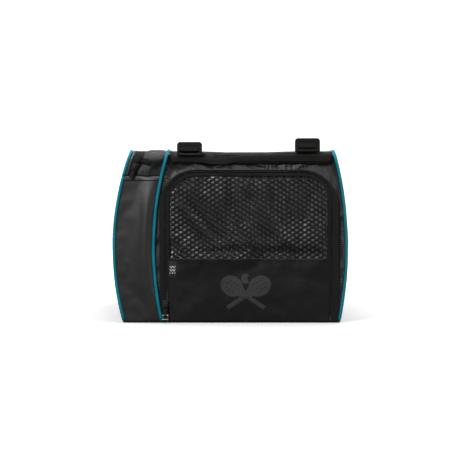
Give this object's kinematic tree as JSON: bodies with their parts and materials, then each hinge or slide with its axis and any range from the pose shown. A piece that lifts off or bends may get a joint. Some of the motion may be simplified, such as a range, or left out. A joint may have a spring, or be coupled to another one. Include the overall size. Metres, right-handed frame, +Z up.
{
  "type": "paddle case",
  "caption": "Soft padel paddle holdall with a thermal paddle compartment, main compartment, mesh end pocket, piping and shoulder straps.",
  "frame": {"origin": "on the floor under the middle of the bag's base", "axes": "+Z up, +Y along the bag away from the end with the mesh pocket, +X towards the main compartment's side"},
  "size_m": [0.3783, 0.5271, 0.2955],
  "materials": {
    "coated_fabric": "satin coated, soft folds",
    "light_nylon": "plain weave, slight sheen",
    "body_fabric": "fine ribbed weave",
    "back_mesh": "padded spacer mesh",
    "pocket_mesh": "open net",
    "satin_lining": "satin",
    "foil_lining": "reflective film",
    "zip_tape": "woven tape",
    "piping": "smooth cord",
    "webbing": "woven webbing",
    "label_weave": "damask",
    "hard_plastic": "moulded, satin",
    "board": "stiffener sheet",
    "slider_metal": "nickel plated",
    "puller_plastic": "soft moulded"
  },
  "bodies": {
    "bag": {"paddle_gusset_front": "coated_fabric", "paddle_gusset_rear": "coated_fabric", "paddle_gusset_base": "coated_fabric", "paddle_upper_front": "light_nylon", "paddle_upper_rear": "light_nylon", "paddle_top_panel": "light_nylon", "paddle_outer_panel": "coated_fabric", "thermal_lining": "foil_lining", "paddle_zip_tape": "zip_tape", "divider_panel": "body_fabric", "base_panel": "coated_fabric", "main_rear_panel": "body_fabric", "back_panel": "back_mesh", "base_board": "board", "main_front_panel": "body_fabric", "right_side_frame": "coated_fabric", "door_zip_tape": "zip_tape", "pocket_zip_tape": "zip_tape", "top_edge_band": "body_fabric", "pocket_liner": "satin_lining", "paddle_side_piping": "piping", "right_piping": "piping", "middle_piping": "piping", "left_lock_tab": "webbing", "right_lock_tab": "webbing", "left_strap_anchor": "webbing", "right_strap_anchor": "webbing", "left_handle_bracket": "hard_plastic", "right_handle_bracket": "hard_plastic"},
    "paddle_lip": {"paddle_lip": "coated_fabric", "lip_zip_tape": "zip_tape", "lip_piping": "piping"},
    "side_door": {"door_panel": "coated_fabric"},
    "pocket_flap": {"flap_mesh": "pocket_mesh", "flap_lower_panel": "body_fabric", "flap_lining": "satin_lining", "woven_label": "label_weave"},
    "pocket_slider": {"pocket_slider": "slider_metal"},
    "pocket_puller": {"pocket_puller": "puller_plastic", "pocket_puller_ring": "slider_metal"},
    "paddle_upper_slider": {"paddle_upper_slider": "slider_metal"},
    "paddle_upper_puller": {"paddle_upper_puller": "puller_plastic"},
    "paddle_lower_slider": {"paddle_lower_slider": "slider_metal"},
    "paddle_lower_puller": {"paddle_lower_puller": "puller_plastic"},
    "door_front_slider": {"door_front_slider": "slider_metal"},
    "door_front_puller": {"door_front_puller": "puller_plastic"},
    "door_rear_slider": {"door_rear_slider": "slider_metal"},
    "door_rear_puller": {"door_rear_puller": "puller_plastic"},
    "left_lock": {"left_ladder_lock": "hard_plastic", "left_lock_webbing": "webbing"},
    "right_lock": {"right_ladder_lock": "hard_plastic", "right_lock_webbing": "webbing"},
    "left_strap": {"left_strap_pad": "back_mesh", "left_strap_webbing": "webbing"},
    "right_strap": {"right_strap_pad": "back_mesh", "right_strap_webbing": "webbing"},
    "grab_handle": {"left_handle_leg": "webbing", "right_handle_leg": "webbing", "handle_grip": "webbing"}
  },
  "joints": [
    {"name": "lip_fold", "type": "hinge", "parent": "bag", "child": "paddle_lip", "pos_m": [-0.1745, 0, 0.2341], "axis": [0, -1, 0], "range_deg": [0, 60]},
    {"name": "door_fold", "type": "hinge", "parent": "bag", "child": "side_door", "pos_m": [0.179, 0, 0.0364], "axis": [0, 1, 0], "range_deg": [0, 90]},
    {"name": "pocket_flap_fold", "type": "hinge", "parent": "bag", "child": "pocket_flap", "pos_m": [0.03, -0.2515, 0.013], "axis": [1, 0, 0], "range_deg": [0, 90]},
    {"name": "pocket_slider_run", "type": "slide", "parent": "bag", "child": "pocket_slider", "axis": [0, 0, 1], "range_m": [0, 0.15]},
    {"name": "pocket_puller_swing", "type": "hinge", "parent": "pocket_slider", "child": "pocket_puller", "pos_m": [-0.1038, -0.2563, 0.031], "axis": [-1, 0, 0], "range_deg": [0, 120]},
    {"name": "paddle_upper_slider_run", "type": "slide", "parent": "bag", "child": "paddle_upper_slider", "axis": [0.3223, 0, 0.9466], "range_m": [0, 0.004]},
    {"name": "paddle_upper_puller_swing", "type": "hinge", "parent": "paddle_upper_slider", "child": "paddle_upper_puller", "pos_m": [-0.14783, -0.2563, 0.264], "axis": [-0.342, 0, -0.9397], "range_deg": [0, 120]},
    {"name": "paddle_lower_slider_run", "type": "slide", "parent": "bag", "child": "paddle_lower_slider", "axis": [-0.3223, 0, -0.9466], "range_m": [0, 0.01]},
    {"name": "paddle_lower_puller_swing", "type": "hinge", "parent": "paddle_lower_slider", "child": "paddle_lower_puller", "pos_m": [-0.15246, -0.2563, 0.2505], "axis": [-0.9466, 0, 0.3223], "range_deg": [0, 120]},
    {"name": "door_front_slider_run", "type": "slide", "parent": "bag", "child": "door_front_slider", "axis": [0, -1, 0], "range_m": [0, 0.15]},
    {"name": "door_front_puller_swing", "type": "hinge", "parent": "door_front_slider", "child": "door_front_puller", "pos_m": [0.17864, -0.008, 0.23997], "axis": [-0.2028, 0, 0.9792], "range_deg": [0, 120]},
    {"name": "door_rear_slider_run", "type": "slide", "parent": "bag", "child": "door_rear_slider", "axis": [0, 1, 0], "range_m": [0, 0.15]},
    {"name": "door_rear_puller_swing", "type": "hinge", "parent": "door_rear_slider", "child": "door_rear_puller", "pos_m": [0.17864, 0.008, 0.23997], "axis": [0.2028, 0, -0.9792], "range_deg": [0, 120]},
    {"name": "left_lock_tilt", "type": "hinge", "parent": "bag", "child": "left_lock", "pos_m": [-0.0648, -0.2558, 0.2697], "axis": [1, 0, 0], "range_deg": [-8, 30]},
    {"name": "left_strap_lift", "type": "hinge", "parent": "bag", "child": "left_strap", "pos_m": [-0.0648, 0.20015, 0.2684], "axis": [-1, 0, 0], "range_deg": [0, 30]},
    {"name": "right_lock_tilt", "type": "hinge", "parent": "bag", "child": "right_lock", "pos_m": [0.1232, -0.2558, 0.2757], "axis": [1, 0, 0], "range_deg": [-8, 30]},
    {"name": "right_strap_lift", "type": "hinge", "parent": "bag", "child": "right_strap", "pos_m": [0.1232, 0.20015, 0.2684], "axis": [-1, 0, 0], "range_deg": [0, 30]},
    {"name": "grab_handle_swing", "type": "hinge", "parent": "bag", "child": "grab_handle", "pos_m": [0.033, 0.256, 0.252], "axis": [1, 0, 0], "range_deg": [0, 100]}
  ]
}
